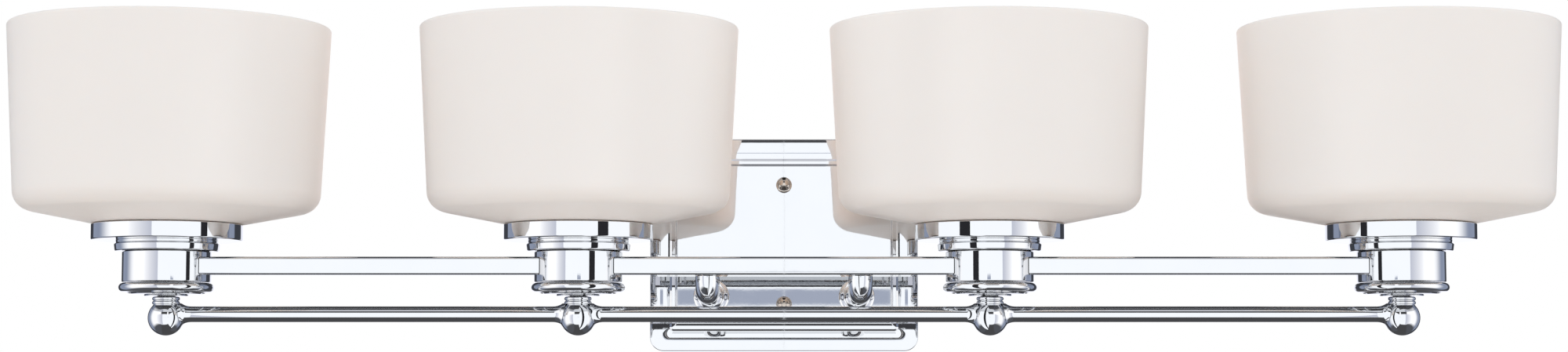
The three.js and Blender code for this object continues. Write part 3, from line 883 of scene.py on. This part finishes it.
def glowing(name, colour, strength=1.0):
    material = bpy.data.materials.new(name)
    material.use_nodes = True
    nodes = material.node_tree.nodes
    nodes.remove(nodes["Principled BSDF"])
    glow = nodes.new("ShaderNodeEmission")
    glow.inputs["Color"].default_value = (*colour, 1)
    glow.inputs["Strength"].default_value = strength
    material.node_tree.links.new(glow.outputs[0], nodes["Material Output"].inputs["Surface"])
    return material


def upright_card(name, near, far, foot, top, material, x=0.0):
    """A card square to the bars, between two distances in front of the lamps and two heights."""
    y0 = BAR.y - near
    y1 = BAR.y - far
    z0 = BAR.z + foot
    z1 = BAR.z + top
    return make_sheet(name, [(x, y0, z0), (x, y1, z0), (x, y1, z1), (x, y0, z1)], material)


def show_only_to(card, matt=False, chrome=False):
    """Hides a card from everything but matt surfaces or chrome."""
    card.visible_camera = False
    card.visible_diffuse = matt
    card.visible_glossy = chrome
    card.visible_transmission = False
    card.visible_shadow = False


def make_partition(behind=-0.1, start=0.03, strip=0.115, strip_end=0.19, grey_foot=0.5, grey_top=0.9, far=4):
    """Reflector that stands upright between the two halves of the light: white with a dark strip, with a dark
    gap, a light strip and darkness above it, and dark below."""
    white = glowing("white_card", WHITE)
    grey = glowing("grey_card", LIGHT_STRIP)
    black = glowing("black_card", CEILING)
    dark = glowing("dark_card", FLOOR)
    panels = (
        (start, strip, CARD_FOOT, CARD_TOP, white),
        (strip, strip_end, CARD_FOOT, CARD_TOP, black),
        (strip_end, CARD_REACH, CARD_FOOT, CARD_TOP, white),
        (behind, CARD_REACH, CARD_TOP, grey_foot, dark),
        (behind, CARD_REACH, grey_foot, grey_top, grey),
        (behind, CARD_REACH, grey_top, far, black),
        (behind, CARD_REACH, -far, CARD_FOOT, dark),
    )
    for index, panel in enumerate(panels):
        show_only_to(upright_card(f"partition_{index}", *panel), chrome=True)


def paint_front_card(card):
    """White in the middle, lavender from its edge outwards and back to white, with a grey band in front of
    the canopy."""
    s = Nodes(card.node_tree)
    across = s.maths("ABSOLUTE", s.axis(0))
    level = s.axis(2)
    wing = s.mix(s.ranged(across, CARD_HALF, CARD_END), (0.74, 0.77, 0.89), SIDE_WHITE)
    colour = s.mix(s.maths("GREATER_THAN", across, CARD_HALF), WHITE, wing)
    band = s.maths("MULTIPLY", s.ranged(level, -0.014, -0.011), s.ranged(level, 0.0, 0.003, 1, 0))
    band = s.maths("MULTIPLY", band, s.ranged(across, 0.088, 0.105, 1, 0, smooth=True))
    s.links.new(s.mix(band, colour, (0.50, 0.55, 0.68)), s.nodes["Emission"].inputs["Color"])


def make_front_card():
    """Reflector that stands in front of the whole light."""
    front = glowing("front_card", WHITE)
    paint_front_card(front)
    y = BAR.y - CARD_REACH
    z0 = BAR.z + CARD_FOOT
    z1 = BAR.z + CARD_TOP
    corners = [(-CARD_END, y, z0), (CARD_END, y, z0), (CARD_END, y, z1), (-CARD_END, y, z1)]
    show_only_to(make_sheet("front_card", corners, front), chrome=True)


def make_warm_cards():
    """Small warm cards behind the gaps between the shades: the glow that one opal shade gives the next."""
    tone = (1.0, 0.82, 0.70)
    warm = glowing("warm_card", tone)
    bright = glowing("bright_warm_card", tone, 1.15)
    offset = PITCH * MM
    for name, x, material in (("left", -offset, warm), ("middle", 0, bright), ("right", offset, warm)):
        show_only_to(upright_card(f"warm_{name}", -0.105, -0.01, -0.01, 0.19, material, x), matt=True)


def make_world():
    """White cyclorama. The chrome sees a studio in it: white sides that turn blue grey at the back, with a
    dark gap on the way, and above and below the front card a dark gap, a light strip and the dark ceiling and
    floor. Everything else gets an even soft light, weaker and a little warmer from below."""
    world = bpy.data.worlds.new("studio")
    bpy.context.scene.world = world
    world.use_nodes = True
    s = Nodes(world.node_tree, "Generated")
    x, y, z = (s.axis(i) for i in range(3))
    forward = s.maths("MULTIPLY", y, -1.0)

    def degrees(operation, first, second=0.0):
        return s.maths("MULTIPLY", s.maths(operation, first, second), math.degrees(1))

    climb = degrees("ARCTAN2", z, forward)                          # from straight ahead, up and over
    swing = s.maths("ABSOLUTE", degrees("ARCTAN2", x, forward))     # from straight ahead, to either side
    rise = degrees("ARCSINE", z)                                    # above the horizon
    lean = s.maths("ABSOLUTE", degrees("ARCSINE", x))               # away from the light's middle plane

    side = s.mix(s.ranged(swing, 78, 114, smooth=True), SIDE_WHITE, (0.34, 0.39, 0.52))
    side = s.mix(s.within(swing, 137, 160, 4), side, (0.06, 0.065, 0.08))
    side = s.mix(s.ranged(rise, 30, 60, smooth=True), side, (0.62, 0.64, 0.70))
    side = s.mix(s.ranged(rise, -44, -27, 1, 0, smooth=True), side, (0.11, 0.115, 0.13))
    strips = s.mix(s.within(climb, -46, 19.1, 1.0), FLOOR, WHITE)
    strips = s.mix(s.within(climb, 44, 62, 2.0), strips, LIGHT_STRIP)
    strips = s.mix(s.within(climb, 68, 162, 3), strips, CEILING)
    strips = s.mix(s.ranged(s.maths("ABSOLUTE", climb), 164, 172, smooth=True), strips, (1.05, 1.06, 1.16))
    studio = s.mix(s.ranged(lean, 15, 21, smooth=True), strips, side)
    even = s.mix(s.ranged(z, -0.7, 0.5, smooth=True), (0.93, 0.835, 0.775), (1.03, 1.03, 1.03))

    path = s.nodes.new("ShaderNodeLightPath")
    light = s.mix(path.outputs["Is Glossy Ray"], even, studio)
    light = s.mix(path.outputs["Is Camera Ray"], light, (1.0, 1.0, 1.0))
    s.links.new(light, s.nodes["Background"].inputs["Color"])


make_lamps()
make_bars()
make_canopy()
make_leads()
make_camera()
make_floor()
make_partition()
make_front_card()
make_warm_cards()
make_world()
bpy.context.scene.view_settings.view_transform = "Standard"
